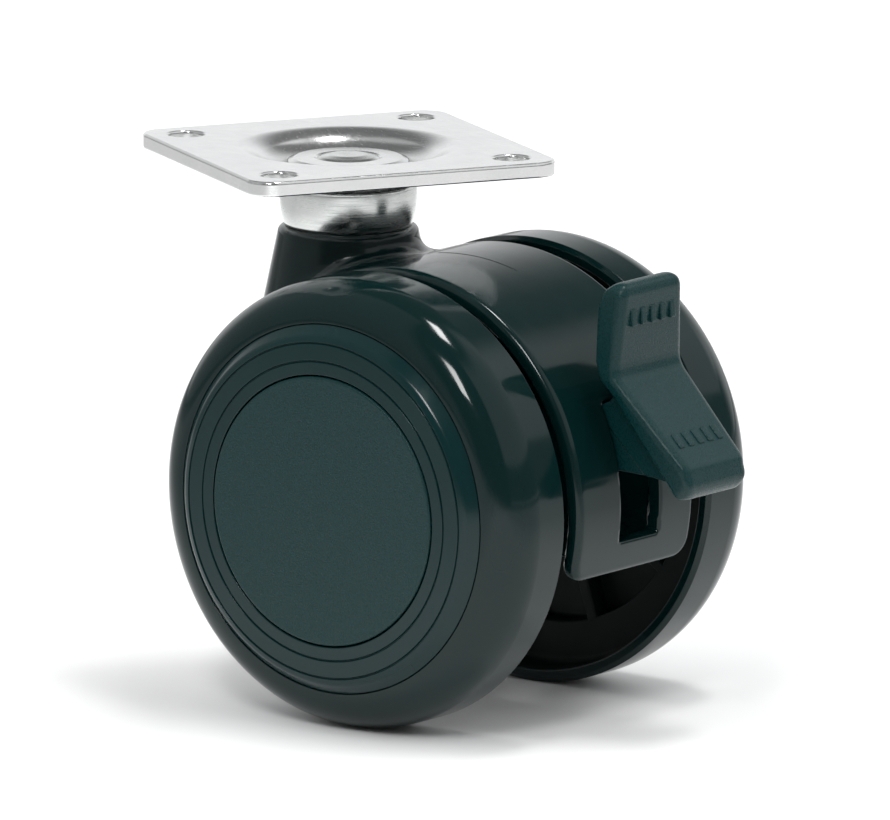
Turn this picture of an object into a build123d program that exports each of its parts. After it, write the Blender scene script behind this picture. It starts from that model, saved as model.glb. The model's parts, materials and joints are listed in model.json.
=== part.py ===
from build123d import *
from math import cos, radians, sin
import os

# Twin wheel swivel castor with a top plate and a rocker brake pedal. Sizes are in millimetres.
# Origin: on the swivel axis, at the top plate's upper face. +Z is up, +Y runs along the wheel axle,
# and +X runs from the swivel axis over the axle to the brake pedal.

# ---- Driving dimensions -----------------------------------------------------------------------
WHEEL_R = 30.0                  # tread radius of both wheels
TRAIL = 18.0                    # swivel axis to axle, along X
AXLE_DROP = 42.6                # top of the plate down to the axle

PLATE_SIDE = 43.4
PLATE_THICK = 2.0
PLATE_TURN = -30.24             # the plate as it stands, turned about the swivel axis
PLATE_CORNER_R = 3.5
HOLE_PITCH = 33.0               # square hole pattern
HOLE_R = 2.4
DISH_R = 13.6                   # rim of the pressed dish
DISH_FLOOR_R = 9.6
DISH_DEPTH = 2.5
DISH_UNDER_R = 12.4             # the dish's underside, where it leaves the sheet
DISH_UNDER_FLOOR_R = 9.2
DISH_BEND_R = 1.2               # bends round the dish's rim and floor

PIN_R = 4.0                     # kingpin shank
PIN_HEAD_R = 4.3                # riveted end
PIN_SHOULDER_R = 4.8
PIN_GROOVE_R = 3.2
PIN_GROOVE = 0.9                # groove's width
PIN_END = 1.7                   # shank below the groove
COLLAR_R = 8.2                  # round collar under the riveted end
COLLAR_TOP = 1.5                # its upper face, below the plate's top
CUP_TOP = 5.0                   # bright swivel race cup
CUP_BOTTOM = 10.5
CUP_R = 9.1
CUP_END_R = 8.5
BALL_R = 1.25
BALL_COUNT = 12
BALL_TRACK_R = 6.3

NECK_TOP = CUP_BOTTOM           # the race cup stands on the neck
NECK_TOP_R = 9.2
NECK_FLARE = 0.208              # growth of the neck's radius for each millimetre down
SOCKET_R = 5.2                  # kingpin socket in the neck
SOCKET_WALL = 2.4
SOCKET_DEPTH = 34.0             # its lower end, below the plate's top
CLIP_DROP = 30.0                # kingpin clip, below the plate's top

HOOD_R = 29.9
HOOD_WALL = 2.2
HOOD_HALF = 12.65               # half the hood's width
HOOD_REAR = -18.0               # hood's rear lower edge, degrees above the axle's level
HOOD_FRONT = 192.0
HOOD_EDGE_R = 0.8
NECK_FILLET_R = 1.5             # where the neck runs into the hood
BOSS_R = 6.5
BOSS_HALF = 12.2
WEB_THICK = 2.2
WEB_FLOOR = -7.0                # lower edge of the two webs, from the axle

BRAKE_Y = 0.8                   # the pedal and its slot sit a little off the middle
SLOT_HALF = 4.2
SLOT_LOW = -9.0                 # the slot's ends, degrees above the axle's level
SLOT_HIGH = 27.5
BAY_HALF = 5.0                  # half the space between the webs
PIVOT_REACH = 20.5              # axle to pedal pivot
PIVOT_ANGLE = 48.0              # degrees above the axle's level
PIVOT_PIN_R = 1.5
CAM_R = 3.4
CAM_OFFSET = 2.95               # eccentricity of the pedal's cam
ARM_HALF = 3.9
PAD_BEND_HALF = 7.9             # half the pedal's width at its bend
PAD_END_HALF = 6.9              # and at the ends of its two pads
PAD_CORNER_R = 2.2
PAD_EDGE_R = 0.45
PAD_BEND_R = 3.0                # soft inside of the bend between the two pads
PAD_BEND = (31.1, 17.7)         # the bend's outer edge, from the axle
PAD_UPPER = 12.7                # length of the upright pad, from the bend
PAD_LOWER = 16.6                # length of the sloping pad
BAR_GAP = 0.1                   # cam to brake bar
BAR_THICK = 1.6
BAR_HALF = 3.5
SHOE_IN = 16.3                  # brake shoes, from the middle
SHOE_OUT = 19.3
SHOE_R = 26.8                   # their rubbing face, from the axle, with the brake off

AXLE_R = 3.0
AXLE_HALF = 26.9
RUNNING = 0.04                  # radial clearance of what turns on a pin
WASHER_THICK = 0.6
TREAD_IN = 15.7                 # tread's inner edge, from the middle
TREAD_OUT = 21.0                # where the tread turns into the shoulder
SHOULDER_R = 24.6               # shoulder's end on the wheel's face
SHOULDER_Y = 27.2
RIM_R = 28.2                    # inside of the rim
RIM_LIP = 0.5                   # flat left on the rim's inner end by its bevel
RIM_BEVEL = 1.3                 # the bevel's width on the tread
HUB_R = 6.6
HUB_IN = 13.0
BUSH_R = 4.2
DISC_IN = 23.2                  # wheel disc
DISC_OUT = 25.4
POCKET_FACE = 20.5              # inner ends of the spokes
POCKET_R = 22.5
SPOKE_COUNT = 10
SPOKE_THICK = 1.6
COVER_R = 24.5
RING_2_R = 22.3                 # fine rings on the cover
RING_3_R = 19.9
COVER_FACE = 29.0
CAP_R = 17.9
CAP_FACE = 29.3
CAP_GAP = 0.2

os.makedirs("parts", exist_ok=True)


# ---- Helpers ----------------------------------------------------------------------------------
def save(shape, name):
    """Write one named piece, which may hold several separate solids."""
    solids = shape.solids()
    piece = solids[0] if len(solids) == 1 else Compound(children=list(solids))
    piece.label = name
    export_step(piece, f"parts/{name}.step")


def at_axle(shape):
    """Move a shape from the axle's centre to its place under the plate."""
    return Pos(TRAIL, 0, -AXLE_DROP) * shape


def polar(reach, angle):
    """A point in the XZ plane, from the axle."""
    return reach * cos(radians(angle)), reach * sin(radians(angle))


def ring(inner, outer, low, high):
    """A plain ring or, with no inner radius, a disc round the Z axis."""
    body = Pos(0, 0, (low + high) / 2) * Cylinder(outer, high - low)
    if inner:
        body -= Pos(0, 0, (low + high) / 2) * Cylinder(inner, high - low + 1)
    return body


def rod(radius, low, high):
    """A cylinder along Y, from one Y to another."""
    return Pos(0, (low + high) / 2, 0) * Rot(X=90) * Cylinder(radius, high - low)


def tube(inner, outer, low, high):
    """A sleeve along Y."""
    return rod(outer, low, high) - rod(inner, low - 1, high + 1)


def slab(points, low, high):
    """A flat outline in the XZ plane, made solid from one Y to another."""
    face = Plane.XZ * make_face(Polyline(points, close=True))
    return Pos(0, high, 0) * extrude(face, high - low)


def turned(line):
    """A closed (radius, y) outline, turned round the Y axis."""
    return revolve(make_face(line), Axis.Y, 360)


def along_z(line):
    """A closed (radius, z) outline, turned round the Z axis."""
    return revolve(make_face(Plane.XZ * line), Axis.Z, 360)


def both_sides(shape, name):
    """Write a piece of the +Y wheel and its twin on the -Y side."""
    save(at_axle(shape), f"{name}_left")
    save(at_axle(mirror(shape, about=Plane.XZ)), f"{name}_right")


# ---- Plate and swivel -------------------------------------------------------------------------
def dish_under():
    """What the pressed dish adds under the sheet."""
    floor = -DISH_DEPTH - PLATE_THICK
    return along_z(Polyline((0, -PLATE_THICK / 2), (DISH_UNDER_R, -PLATE_THICK / 2),
                            (DISH_UNDER_R, -PLATE_THICK), (DISH_UNDER_FLOOR_R, floor), (0, floor),
                            close=True))


def dish_hollow():
    """What the pressed dish takes out of the sheet."""
    return along_z(Polyline((0, 1), (DISH_R, 1), (DISH_R, 0), (DISH_FLOOR_R, -DISH_DEPTH),
                            (0, -DISH_DEPTH), close=True))


def top_plate():
    """A stamped square sheet with rounded corners, a pressed dish and four screw holes."""
    sheet = extrude(RectangleRounded(PLATE_SIDE, PLATE_SIDE, PLATE_CORNER_R), -PLATE_THICK)
    sheet = sheet + dish_under() - dish_hollow()
    rims = sheet.edges().filter_by(GeomType.CIRCLE)
    rims = rims.filter_by(lambda e: min(abs(e.radius - DISH_R), abs(e.radius - DISH_FLOOR_R)) < 0.01)
    sheet = fillet(rims, DISH_BEND_R)
    sheet -= ring(0, PIN_R, -9, 1)
    half = HOLE_PITCH / 2
    for x in (-half, half):
        for y in (-half, half):
            sheet -= Pos(x, y, 0) * ring(0, HOLE_R, -PLATE_THICK - 1, 1)
    return Rot(Z=PLATE_TURN) * sheet


def kingpin():
    """A shank with a riveted head on the collar, a shoulder under the plate and a clip groove."""
    top = -COLLAR_TOP
    under = -DISH_DEPTH - PLATE_THICK
    groove = -CLIP_DROP
    end = groove - PIN_GROOVE - PIN_END
    soft = 0.6
    line = Polyline((0, top + 0.5), (PIN_HEAD_R - 1.3, top + 0.5), (PIN_HEAD_R, top + 0.1),
                    (PIN_HEAD_R, top), (PIN_R, top), (PIN_R, under), (PIN_SHOULDER_R, under),
                    (PIN_SHOULDER_R, under - 1.0), (PIN_R, under - 1.0), (PIN_R, groove),
                    (PIN_GROOVE_R, groove), (PIN_GROOVE_R, groove - PIN_GROOVE),
                    (PIN_R, groove - PIN_GROOVE), (PIN_R, end + soft), (PIN_R - soft, end), (0, end),
                    close=True)
    return along_z(line)


def kingpin_collar():
    """The dished collar that the kingpin's head is riveted over."""
    low = -DISH_DEPTH
    high = -COLLAR_TOP
    body = ring(PIN_R, COLLAR_R, low, high)
    return fillet(body.edges().filter_by(GeomType.CIRCLE).sort_by(SortBy.RADIUS)[-2:]
                  .sort_by(Axis.Z)[-1:], 0.6)


def kingpin_clip():
    """An open ring in the kingpin's groove, which carries the neck bush."""
    groove = -CLIP_DROP
    body = ring(PIN_GROOVE_R, PIN_R + 0.9, groove - 0.8, groove - 0.1)
    return body - Pos(-5, 0, groove) * Box(10, 2.4, 6)


def race_cup():
    """The bulged bright steel cup that holds the balls, open at the top."""
    wall = 0.8
    top_r = CUP_R - 0.5
    bulge_z = -(CUP_TOP + CUP_BOTTOM) / 2 + 0.4
    outer = ThreePointArc((CUP_END_R, -CUP_BOTTOM), (CUP_R, bulge_z), (top_r, -CUP_TOP))
    inner = ThreePointArc((top_r - wall, -CUP_TOP), (CUP_R - wall, bulge_z),
                          (CUP_END_R - wall, -CUP_BOTTOM + wall))
    path = [outer, Line(outer @ 1, inner @ 0), inner,
            Polyline(inner @ 1, (SOCKET_R + 0.2, -CUP_BOTTOM + wall), (SOCKET_R + 0.2, -CUP_BOTTOM),
                     outer @ 0)]
    return along_z(Wire(path[0].edges() + path[1].edges() + path[2].edges() + path[3].edges()))


def ball_height():
    """Centre height of the balls, between the dish and the lower race."""
    return -DISH_DEPTH - PLATE_THICK - 1.2 - BALL_R


def swivel_balls():
    step = 360 / BALL_COUNT
    ball = Pos(BALL_TRACK_R, 0, ball_height()) * Sphere(BALL_R)
    return Compound(children=[Rot(Z=i * step) * ball for i in range(BALL_COUNT)])


def upper_race():
    """A hardened washer under the dish, with the balls' upper track in it."""
    top = -DISH_DEPTH - PLATE_THICK
    body = ring(4.85, 7.3, top - 1.1, top)
    return body


def lower_race():
    """A hardened washer in the cup's floor that the balls roll on."""
    floor = -CUP_BOTTOM + 0.8
    return ring(SOCKET_R + 0.2, 7.5, floor, ball_height() - BALL_R - 0.1)


def ball_cage():
    """A thin ring with one pocket for each ball."""
    height = 1.0
    width = 3.2
    body = ring(BALL_TRACK_R - width / 2, BALL_TRACK_R + width / 2, ball_height() - height / 2,
                ball_height() + height / 2)
    for i in range(BALL_COUNT):
        body -= Rot(Z=i * 360 / BALL_COUNT) * Pos(BALL_TRACK_R, 0, ball_height()) * Sphere(BALL_R + 0.06)
    return body


# ---- Housing ----------------------------------------------------------------------------------
def neck_radius(depth):
    """The neck's outer radius at a depth under the plate's top."""
    return NECK_TOP_R + NECK_FLARE * (depth - NECK_TOP)


def neck_outer():
    """A flared round column that runs down the front of the hood, with a rounded top edge."""
    full_depth = NECK_TOP + (HOOD_HALF - NECK_TOP_R) / NECK_FLARE
    foot = AXLE_DROP - 2.0
    column = along_z(Polyline((0, -NECK_TOP), (NECK_TOP_R - 0.7, -NECK_TOP),
                              (NECK_TOP_R, -NECK_TOP - 0.7), (HOOD_HALF, -full_depth),
                              (HOOD_HALF, -foot), (0, -foot), close=True))
    front = -neck_radius(AXLE_DROP - 20)
    profile = slab([(20, 0), (20, -foot), (TRAIL - HOOD_R + 0.1, -foot), (front - 0.6, -foot + 9),
                    (front - 0.6, -foot + 14), (front, -AXLE_DROP + 20), (front, 0)], -20, 20)
    return column & profile


def neck_core():
    """The space between the neck's skin and the kingpin socket, open below."""
    top = NECK_TOP + 13
    wall = 2.4
    full_depth = NECK_TOP + (HOOD_HALF - NECK_TOP_R) / NECK_FLARE
    foot = AXLE_DROP - 2.0 + 1
    outer = along_z(Polyline((0, -top), (neck_radius(top) - wall, -top),
                             (HOOD_HALF - wall, -full_depth), (HOOD_HALF - wall, -foot),
                             (0, -foot), close=True))
    limit = Pos(20 - 10.2, 0, -30) * Box(40, 40, 60)
    socket = ring(0, SOCKET_R + SOCKET_WALL, -SOCKET_DEPTH, 0)
    return (outer & limit) - socket


def hood_and_neck():
    """The outer skin of hood and neck as one solid, before it is hollowed out."""
    side = Pos(HOOD_R / 2, 0) * Rectangle(HOOD_R, 2 * HOOD_HALF)
    hood = Rot(Y=-HOOD_REAR) * revolve(side, Axis.Y, -(HOOD_FRONT - HOOD_REAR))
    rims = hood.edges().filter_by(GeomType.CIRCLE)
    hood = fillet(rims.filter_by(lambda e: abs(e.radius - HOOD_R) < 0.01), HOOD_EDGE_R)
    skin = at_axle(hood) + neck_outer()
    joins = skin.edges().filter_by(GeomType.BSPLINE).sort_by(Axis.Z)[-2:]
    return fillet(joins, NECK_FILLET_R)


def hood_corners():
    """What is taken off to round the two rear lower corners of the hood."""
    corner = 3.0
    x, z = polar(HOOD_R, HOOD_REAR)
    square = Rectangle(corner, corner, align=(Align.MIN, Align.MIN))
    square -= Pos(corner, corner) * Circle(corner)
    cutter = extrude(square, 8, both=True)
    along = Plane(origin=(x, HOOD_HALF, z), x_dir=(0, -1, 0),
                  z_dir=(cos(radians(HOOD_REAR)), 0, sin(radians(HOOD_REAR))))
    cut = along * cutter
    return cut + mirror(cut, about=Plane.XZ)


def webs():
    """Two upright webs inside the hood, on each side of the pedal's bay."""
    inside = HOOD_R - HOOD_WALL + 0.4
    keep = Pos(0, 0, 50 + WEB_FLOOR) * Box(100, 60, 100)
    low = BRAKE_Y - BAY_HALF - WEB_THICK
    high = BRAKE_Y + BAY_HALF
    pair = rod(inside, low, low + WEB_THICK) + rod(inside, high, high + WEB_THICK)
    return pair & keep


def brake_bar_window():
    """The path of the brake bar through the webs, along the pivot's radius."""
    low = PIVOT_REACH + CAM_R + BAR_GAP - 0.15
    high = HOOD_R - HOOD_WALL + 0.05
    block = Pos((low + high) / 2, 0, 0) * Box(high - low, 30, 2 * BAR_HALF + 0.3)
    return Rot(Y=-PIVOT_ANGLE) * block


def lever_slot():
    """The slot in the hood for the pedal's arm."""
    wall = Pos(HOOD_R - HOOD_WALL / 2, BRAKE_Y) * Rectangle(HOOD_WALL + 2, 2 * SLOT_HALF)
    cut = revolve(wall, Axis.Y, -(SLOT_HIGH - SLOT_LOW))
    return Rot(Y=-SLOT_LOW) * cut


def housing():
    """Hood, neck, kingpin socket, webs and axle boss in one moulding."""
    x, z = polar(PIVOT_REACH, PIVOT_ANGLE)
    body = hood_and_neck() - at_axle(rod(HOOD_R - HOOD_WALL, -20, 20)) - neck_core()
    body -= at_axle(hood_corners())
    body += at_axle(webs())
    body += ring(0, SOCKET_R + SOCKET_WALL, -SOCKET_DEPTH, -NECK_TOP - 3)
    body += at_axle(rod(BOSS_R, -BOSS_HALF, BOSS_HALF))
    body -= at_axle(lever_slot())
    body -= at_axle(brake_bar_window())
    body -= at_axle(rod(AXLE_R, -20, 20))
    body -= at_axle(Pos(x, 0, z) * rod(PIVOT_PIN_R, -12, 12))
    return body - ring(0, SOCKET_R, -60, 0)


def neck_bush():
    """A flanged sleeve in the socket, which the kingpin turns in."""
    top = -CUP_BOTTOM
    body = ring(PIN_R + RUNNING, SOCKET_R, -CLIP_DROP, top)
    return body


def lever_pin():
    x, z = polar(PIVOT_REACH, PIVOT_ANGLE)
    end = BAY_HALF + WEB_THICK
    return at_axle(Pos(x, 0, z) * rod(PIVOT_PIN_R, BRAKE_Y - end, BRAKE_Y + end))


def detent_spring():
    """A leaf between the webs, under the pedal's hub, which holds the pedal where it is put."""
    thick = 0.4
    length = 6.8
    reach = PIVOT_REACH - CAM_R - 0.2 - thick / 2
    leaf = Box(thick, 2 * BAY_HALF, length)
    return at_axle(Rot(Y=-PIVOT_ANGLE) * Pos(reach, BRAKE_Y, length / 2) * leaf)


# ---- Brake ------------------------------------------------------------------------------------
def pedal_profile():
    """The rocker's side outline: a short upright pad, a bend, and a thicker pad sloping out."""
    return [(27.9, 27.2), (28.6, 29.3), (29.9, 30.4), (31.3, 30.1), (31.8, 28.6), PAD_BEND,
            (42.0, 6.6), (42.6, 5.3), (42.5, 3.2), (41.6, 2.3), (40.6, 2.6), (35.7, 9.0),
            (31.3, 14.8), (28.7, 17.5), (27.9, 19.8), (27.8, 24.0)]


def pedal_arm():
    """The web from the pedal's back through the slot to the hub."""
    return [(30.2, 17.0), (27.6, 13.1), (24.6, 12.3), (15.4, 12.9), (13.0, 12.2), (19.5, 6.6),
            (24.0, 4.7), (29.7, 4.5), (34.4, 4.3), (38.2, 3.6), (40.0, 4.6), (31.4, 16.0)]


def pad_limit(length, slope, turn):
    """A pad's outline seen square on, widest at the bend and rounded at its end, made solid."""
    back = -1.0
    outline = make_face(Polyline((-PAD_BEND_HALF, back), (PAD_BEND_HALF, back), (PAD_BEND_HALF, 0),
                                 (PAD_END_HALF, length), (-PAD_END_HALF, length),
                                 (-PAD_BEND_HALF, 0), close=True))
    outline = fillet(outline.vertices().sort_by(Axis.Y)[-2:], PAD_CORNER_R)
    facing = (cos(radians(slope)), 0, sin(radians(slope)))
    bend = Plane(origin=(PAD_BEND[0], BRAKE_Y, PAD_BEND[1]), x_dir=(0, 1, 0), z_dir=facing)
    return bend * extrude(Rot(Z=turn) * outline, 12, both=True)


def brake_lever():
    """The two-ended pedal, with its arm, hub and eccentric cam."""
    x, z = polar(PIVOT_REACH, PIVOT_ANGLE)
    cam_x, cam_z = polar(CAM_OFFSET, PIVOT_ANGLE + 90)
    pedal = slab(pedal_profile(), BRAKE_Y - 10, BRAKE_Y + 10)
    bend = (PAD_BEND[0], BRAKE_Y, PAD_BEND[1])
    pedal = fillet(pedal.edges().filter_by(Axis.Y).sort_by_distance(bend)[:1], PAD_BEND_R)
    pedal = fillet(pedal.edges().filter_by(Axis.Y).sort_by_distance(bend)[2:], PAD_EDGE_R)
    pedal &= pad_limit(PAD_UPPER, 0, 0) + pad_limit(PAD_LOWER, 45, 180)
    low = BRAKE_Y - ARM_HALF
    high = BRAKE_Y + ARM_HALF
    body = pedal + slab(pedal_arm(), low, high)
    body += Pos(x, 0, z) * rod(CAM_R - 0.2, low, high)
    body += Pos(x + cam_x, 0, z + cam_z) * rod(CAM_R, low, high)
    body -= Pos(x, 0, z) * rod(PIVOT_PIN_R + RUNNING, -20, 20)
    return at_axle(body)


def brake_bar():
    """A flat steel bar across both wheels, lifted by the pedal's cam."""
    low = PIVOT_REACH + CAM_R + BAR_GAP
    bar = Pos(low + BAR_THICK / 2, 0, 0) * Box(BAR_THICK, 2 * SHOE_OUT, 2 * BAR_HALF)
    return at_axle(Rot(Y=-PIVOT_ANGLE) * bar)


def brake_shoe():
    """A rubber block on the bar's end, curved like the rim that it presses on."""
    low = PIVOT_REACH + CAM_R + BAR_GAP + BAR_THICK
    block = Pos(low + 2, (SHOE_IN + SHOE_OUT) / 2, 0) * Box(4, SHOE_OUT - SHOE_IN, 2 * BAR_HALF)
    return Rot(Y=-PIVOT_ANGLE) * (block & rod(SHOE_R, -30, 30))


# ---- Wheels -----------------------------------------------------------------------------------
def axle():
    return at_axle(rod(AXLE_R, -AXLE_HALF, AXLE_HALF))


def wheel():
    """Tread, shoulder, disc, pocketed inner face and hub in one moulding."""
    tread = Polyline((RIM_R, TREAD_IN), (RIM_R + RIM_LIP, TREAD_IN), (WHEEL_R, TREAD_IN + RIM_BEVEL),
                     (WHEEL_R, TREAD_OUT))
    shoulder = EllipticalCenterArc((SHOULDER_R, TREAD_OUT), WHEEL_R - SHOULDER_R,
                                   SHOULDER_Y - TREAD_OUT, start_angle=0, arc_size=90)
    face = Polyline(shoulder @ 1, (SHOULDER_R, DISC_OUT), (BUSH_R, DISC_OUT), (BUSH_R, HUB_IN),
                    (HUB_R, HUB_IN), (HUB_R, POCKET_FACE), (RIM_R - 1.0, POCKET_FACE),
                    (RIM_R, POCKET_FACE - 1.0), (RIM_R, TREAD_IN))
    body = turned(Wire(tread.edges() + shoulder.edges() + face.edges()))
    pockets = tube(HUB_R, POCKET_R, POCKET_FACE - 1, DISC_IN)
    spoke = Pos(15, (POCKET_FACE + DISC_IN) / 2, 0) * Box(30, 6, SPOKE_THICK)
    for i in range(SPOKE_COUNT):
        pockets -= Rot(Y=i * 360 / SPOKE_COUNT) * spoke
    return body - pockets


def wheel_cover():
    """The ringed trim round the hub cap: a rounded bead, then a flat with one fine ring."""
    step = 0.25
    foot = 1.6
    shell = 1.5
    bead = ThreePointArc((COVER_R, SHOULDER_Y - 0.2), (COVER_R - 0.75, SHOULDER_Y + 1.0),
                         (RING_2_R + step, COVER_FACE - 0.25))
    inside = Polyline(bead @ 1, (RING_2_R, COVER_FACE - 0.45), (RING_2_R - step, COVER_FACE - 0.1),
                      (RING_3_R + step, COVER_FACE), (RING_3_R, COVER_FACE - 0.2),
                      (RING_3_R - step, COVER_FACE + 0.05), (CAP_R + CAP_GAP, COVER_FACE + 0.1),
                      (CAP_R + CAP_GAP, COVER_FACE - shell), (COVER_R - foot - 0.4, COVER_FACE - shell),
                      (COVER_R - foot, COVER_FACE - shell - 0.6), (COVER_R - foot, DISC_OUT),
                      (COVER_R, DISC_OUT), bead @ 0)
    return turned(Wire(bead.edges() + inside.edges()))


def hub_cap():
    """A round disc with a ring behind it that stands on the wheel disc."""
    back = CAP_FACE - 1.6
    soft = 0.3
    return turned(Polyline((0, back), (0, CAP_FACE), (CAP_R - soft, CAP_FACE), (CAP_R, CAP_FACE - soft),
                           (CAP_R, back), (CAP_R - 1.2, back), (CAP_R - 1.2, DISC_OUT),
                           (CAP_R - 2.4, DISC_OUT), (CAP_R - 2.4, back), close=True))


def wheel_bush():
    return tube(AXLE_R + RUNNING, BUSH_R, HUB_IN, DISC_OUT)


def axle_washer():
    return tube(AXLE_R, BOSS_R - 0.8, BOSS_HALF, BOSS_HALF + WASHER_THICK)


def axle_clip():
    """A domed push-on cap nut that grips the axle's end."""
    low = DISC_OUT + 0.2
    return turned(Polyline((AXLE_R, low), (6.0, low), (6.0, low + 0.4), (4.4, low + 1.1),
                           (AXLE_R, low + 1.1), close=True))


# ---- Write every piece ------------------------------------------------------------------------
save(top_plate(), "top_plate")
save(kingpin(), "kingpin")
save(kingpin_collar(), "kingpin_collar")
save(kingpin_clip(), "kingpin_clip")
save(upper_race(), "upper_race")
save(race_cup(), "race_cup")
save(lower_race(), "lower_race")
save(swivel_balls(), "swivel_balls")
save(ball_cage(), "ball_cage")
save(housing(), "housing")
save(neck_bush(), "neck_bush")
save(lever_pin(), "lever_pin")
save(detent_spring(), "detent_spring")
save(brake_lever(), "brake_lever")
save(brake_bar(), "brake_bar")
save(axle(), "axle")
both_sides(brake_shoe(), "brake_shoe")
both_sides(axle_washer(), "axle_washer")
both_sides(axle_clip(), "axle_clip")
both_sides(wheel(), "wheel")
both_sides(wheel_bush(), "wheel_bush")
both_sides(wheel_cover(), "wheel_cover")
both_sides(hub_cap(), "hub_cap")
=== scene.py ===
import json
import math
import bpy
import numpy as np
from mathutils import Matrix, Vector


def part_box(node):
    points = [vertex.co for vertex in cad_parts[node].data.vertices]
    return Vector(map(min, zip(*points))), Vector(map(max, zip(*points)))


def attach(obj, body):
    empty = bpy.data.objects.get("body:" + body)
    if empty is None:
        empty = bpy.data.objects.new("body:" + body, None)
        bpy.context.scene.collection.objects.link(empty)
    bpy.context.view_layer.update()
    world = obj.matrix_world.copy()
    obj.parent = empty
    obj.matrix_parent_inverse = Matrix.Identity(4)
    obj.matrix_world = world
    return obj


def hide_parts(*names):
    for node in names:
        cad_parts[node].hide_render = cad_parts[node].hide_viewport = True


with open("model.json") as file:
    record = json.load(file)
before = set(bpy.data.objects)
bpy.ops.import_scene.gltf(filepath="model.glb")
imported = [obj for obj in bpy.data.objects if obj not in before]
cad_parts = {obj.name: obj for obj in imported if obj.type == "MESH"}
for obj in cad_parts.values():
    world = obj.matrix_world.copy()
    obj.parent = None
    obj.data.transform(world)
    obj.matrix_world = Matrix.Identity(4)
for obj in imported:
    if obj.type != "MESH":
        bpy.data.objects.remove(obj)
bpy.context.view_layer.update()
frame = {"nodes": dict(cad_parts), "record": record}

# A twin wheel swivel castor: glossy black wheels and hood, a zinc-plated plate on a bright ball
# race, and a matt rocker pedal. Lengths in this script are millimetres unless a name says metres.
MM = 0.001


def middle(node):
    """The centre of a CAD node's box, in millimetres."""
    low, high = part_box(node)
    return np.array([(a + b) / 2 / MM for a, b in zip(low, high)])


def reach(node, axis):
    """Half the size of a CAD node's box along one axis, in millimetres."""
    low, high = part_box(node)
    return (high[axis] - low[axis]) / 2 / MM


# ---- Driving sizes ----------------------------------------------------------------------------
AXLE = middle("axle")                       # the swivel axis is X = 0, Y = 0
TRAIL, AXLE_DROP = AXLE[0], -AXLE[2]
WHEEL_R = reach("wheel_left", 2)
FLOOR_Z = -AXLE_DROP - WHEEL_R
PLATE_TURN = math.radians(-30.24)           # the plate as it stands, round the swivel axis
PLATE_HALF = 21.7
PLATE_THICK = 2.0
PLATE_CORNER_R = 3.5
HOLE_HALF = 16.5                            # half the pitch of the screw holes
HOLE_R = 2.4
DISH_R, DISH_DEPTH = 13.3, 2.5
HOOD_R = 29.9
HOOD_WALL = 2.2
HOOD_HALF = reach("housing", 1)
HOOD_REAR = math.radians(-18)
HOOD_FRONT = math.radians(192)
BRAKE_Y = middle("brake_lever")[1]
PIVOT = middle("lever_pin") - AXLE
BAR_ANGLE = math.radians(48)
NECK_TOP = 10.5
NECK_TOP_R = 9.2
NECK_FLARE = 0.208                          # growth of the neck's radius for each millimetre down
SLOT_LOW = math.radians(-9)                 # the ends of the pedal's slot, above the axle's level
SLOT_HIGH = math.radians(27.5)
SLOT_HALF = 4.2
ARM_HALF = 3.9
TREAD_IN, TREAD_OUT = 15.7, 21.0            # the tread's edges, from the middle
SHOULDER_R, SHOULDER_Y = 24.6, 27.2
RIM_R = 28.2
CAP_R, CAP_FACE = 17.9, 29.3
CAMERA_SIDE, CAMERA_RISE = 37.34, 10.91     # degrees from -Y towards +X, and up
PLASTIC_IOR = 1.39


# ---- Distance fields --------------------------------------------------------------------------
def round_in(a, b, radius):
    """Where both fields are inside, with the shared edge rounded."""
    corner = np.hypot(np.maximum(a + radius, 0), np.maximum(b + radius, 0)) - radius
    return np.minimum(np.maximum(a, b), -radius) * (np.maximum(a, b) < -radius) + \
        corner * (np.maximum(a, b) >= -radius)


def round_join(a, b, radius):
    """Where either field is inside, with a fillet along the crease."""
    return -round_in(-a, -b, radius)


def polygon(points, u, v):
    """Signed distance to a closed outline in the (u, v) plane."""
    points = np.asarray(points, float)
    best = np.full(u.shape, 1e9)
    sign = np.ones(u.shape)
    for (au, av), (bu, bv) in zip(points, np.roll(points, -1, 0)):
        eu, ev = bu - au, bv - av
        wu, wv = u - au, v - av
        t = np.clip((wu * eu + wv * ev) / (eu * eu + ev * ev), 0, 1)
        best = np.minimum(best, (wu - t * eu) ** 2 + (wv - t * ev) ** 2)
        above, below = v >= av, v < bv
        left = eu * wv > ev * wu
        sign = np.where((above & below & left) | (~above & ~below & ~left), -sign, sign)
    return sign * np.sqrt(best)


def gradient(field, points):
    """The field's slope at each point."""
    gap = 0.01
    slope = np.empty_like(points)
    for axis in range(3):
        step = np.zeros(3)
        step[axis] = gap
        slope[:, axis] = (field(points + step) - field(points - step)) / (2 * gap)
    return slope


def settle(field, points, step):
    """Moves points on to the surface where the field is zero."""
    for _ in range(4):
        value = field(points)
        slope = gradient(field, points)
        move = value[:, None] * slope / np.maximum((slope ** 2).sum(1), 1e-6)[:, None]
        size = np.maximum(np.linalg.norm(move, axis=1), 1e-9)
        points = points - move * np.minimum(1, 0.5 * step / size)[:, None]
    return points


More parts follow.
